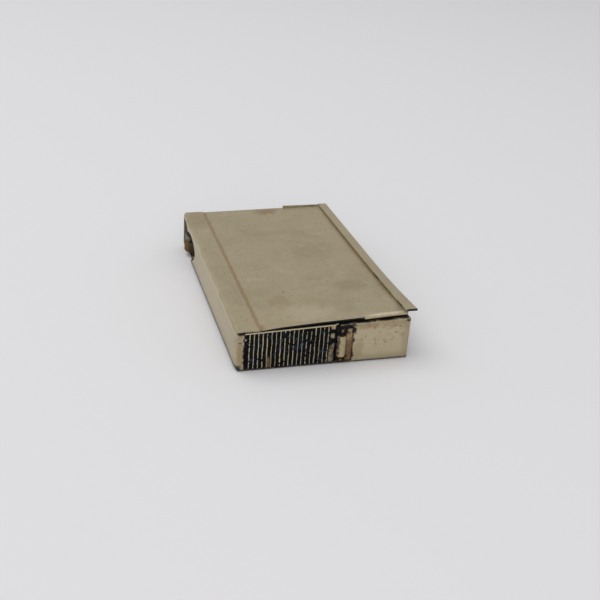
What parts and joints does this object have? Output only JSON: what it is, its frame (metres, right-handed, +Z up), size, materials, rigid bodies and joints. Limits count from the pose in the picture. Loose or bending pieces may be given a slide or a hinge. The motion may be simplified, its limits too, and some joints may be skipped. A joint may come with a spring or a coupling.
{
  "type": "striker lighter",
  "caption": "Flat pocket lighter of folded sheet metal with a sliding lid, a ribbed striker flap on one end and a flint wheel in a cut-away corner.",
  "frame": {"origin": "centre of the case's footprint, on the surface that it lies on", "axes": "+X across the case, +Y along it away from the ribbed striker end, +Z up through the lid"},
  "size_m": [0.0364, 0.059, 0.0109],
  "materials": {
    "nickel_silver": "aged satin nickel silver",
    "striker_steel": "ribbed, dark residue between the ribs",
    "brass": "tarnished brass",
    "steel": "dull steel",
    "rusted_steel": "browned steel",
    "flint": "matt ferrocerium",
    "cotton": "loose cotton",
    "felt": "pressed felt"
  },
  "bodies": {
    "case": {"case_shell": "nickel_silver", "right_rail": "nickel_silver", "door_frame": "nickel_silver", "hinge_leaf": "rusted_steel", "hinge_pin": "brass", "catch_stud": "nickel_silver", "bulkhead": "nickel_silver", "cotton_wadding": "cotton", "felt_cover": "felt", "wheel_washer": "nickel_silver", "wheel_spindle": "steel", "flint_tube": "brass", "flint": "flint", "flint_follower": "brass", "flint_spring": "steel", "flint_screw": "brass", "burner_tube": "brass", "wick": "cotton"},
    "lid": {"lid_panel": "nickel_silver", "lid_tongue": "nickel_silver"},
    "flap": {"striker_flap": "nickel_silver", "striker_plate": "striker_steel", "flap_knuckle": "nickel_silver"},
    "wheel": {"thumb_wheel": "brass", "spark_wheel": "steel"}
  },
  "joints": [
    {"name": "lid_slide", "type": "slide", "parent": "case", "child": "lid", "axis": [0, -1, 0], "range_m": [0, 0.028]},
    {"name": "flap_hinge", "type": "hinge", "parent": "case", "child": "flap", "pos_m": [0.0034, -0.02889, 0.004], "axis": [0, 0, 1], "range_deg": [0, 100]},
    {"name": "wheel_spin", "type": "hinge", "parent": "case", "child": "wheel", "pos_m": [-0.0151, 0.02425, 0.004], "axis": [0, 0, 1], "continuous": true}
  ]
}
